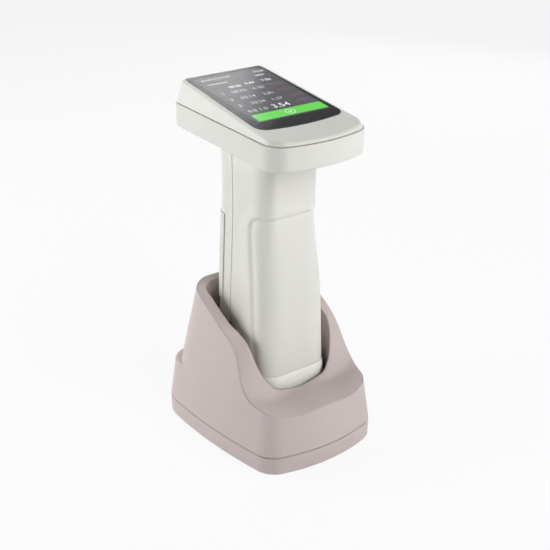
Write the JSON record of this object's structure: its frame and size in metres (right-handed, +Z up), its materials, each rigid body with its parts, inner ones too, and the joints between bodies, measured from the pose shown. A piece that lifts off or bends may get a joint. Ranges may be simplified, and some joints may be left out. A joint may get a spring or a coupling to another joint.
{
  "type": "handheld spectrophotometer with charging cradle",
  "caption": "T-shaped handheld colour spectrophotometer with a tilted touch screen, standing nose down in a tapered charging cradle it lifts out of.",
  "frame": {"origin": "middle of the cradle's footprint, on the surface it stands on", "axes": "+Z up, -Y towards the user, +X to the user's right"},
  "size_m": [0.1096, 0.122, 0.23],
  "materials": {
    "pale_plastic": "fine satin moulding, warm light grey",
    "grip_plastic": "soft matte, warm light grey",
    "cradle_plastic": "fine matte moulding, greyed mauve",
    "dark_plastic": "matte black moulding",
    "black_rubber": "matte",
    "white_ceramic": "glazed white ceramic",
    "white_coating": "flat white reflecting coat",
    "gold_contact": "gold plated",
    "circuit_board": "green solder mask",
    "steel_shell": "stamped steel",
    "zinc_steel": "zinc plated sheet",
    "steel_screw": "plated screw",
    "cell_wrap": "shrink sleeve",
    "black_aluminium": "black anodised",
    "optical_glass": "coated lens",
    "green_light": "clear green light pipe",
    "screen_glass": "cover glass with a black printed edge",
    "display": "dark colour display"
  },
  "bodies": {
    "cradle": {"cradle_cover": "cradle_plastic", "cradle_base": "cradle_plastic", "cradle_well": "dark_plastic", "guide_pads": "black_rubber", "tile_holder": "dark_plastic", "calibration_tile": "white_ceramic", "pin_block": "dark_plastic", "charge_board": "circuit_board", "cradle_usb_socket": "steel_shell", "ballast_plate": "zinc_steel", "rubber_feet": "black_rubber", "cradle_screws": "steel_screw"},
    "instrument": {"handle_front_shell": "pale_plastic", "handle_rear_shell": "pale_plastic", "rear_grip_panel": "grip_plastic", "key_switch": "dark_plastic", "handle_board": "circuit_board", "battery_cells": "cell_wrap", "handle_screws": "steel_screw", "nose_cap": "pale_plastic", "aperture_ring": "dark_plastic", "charge_contacts": "gold_contact", "sphere_upper_half": "white_coating", "sphere_lower_half": "white_coating", "lamp_board": "circuit_board", "spectrometer_module": "black_aluminium", "viewing_lens": "optical_glass", "head_lower_housing": "pale_plastic", "head_upper_housing": "pale_plastic", "status_light": "green_light", "screen_glass": "screen_glass", "display_panel": "display", "main_board": "circuit_board", "usb_socket": "steel_shell", "head_screws": "steel_screw"},
    "key": {"measure_key": "grip_plastic"},
    "pins": {"charge_pins": "gold_contact"}
  },
  "joints": [
    {"name": "instrument_lift", "type": "slide", "parent": "cradle", "child": "instrument", "axis": [0, 0, 1], "range_m": [0, 0.1]},
    {"name": "measure_key_press", "type": "slide", "parent": "instrument", "child": "key", "axis": [0, -1, 0], "range_m": [0, 0.0012], "stiffness_N_per_m": 600, "springref_m": -0.001},
    {"name": "charge_pins_press", "type": "slide", "parent": "cradle", "child": "pins", "axis": [0, 0, -1], "range_m": [0, 0.001], "stiffness_N_per_m": 200, "springref_m": -0.001}
  ]
}
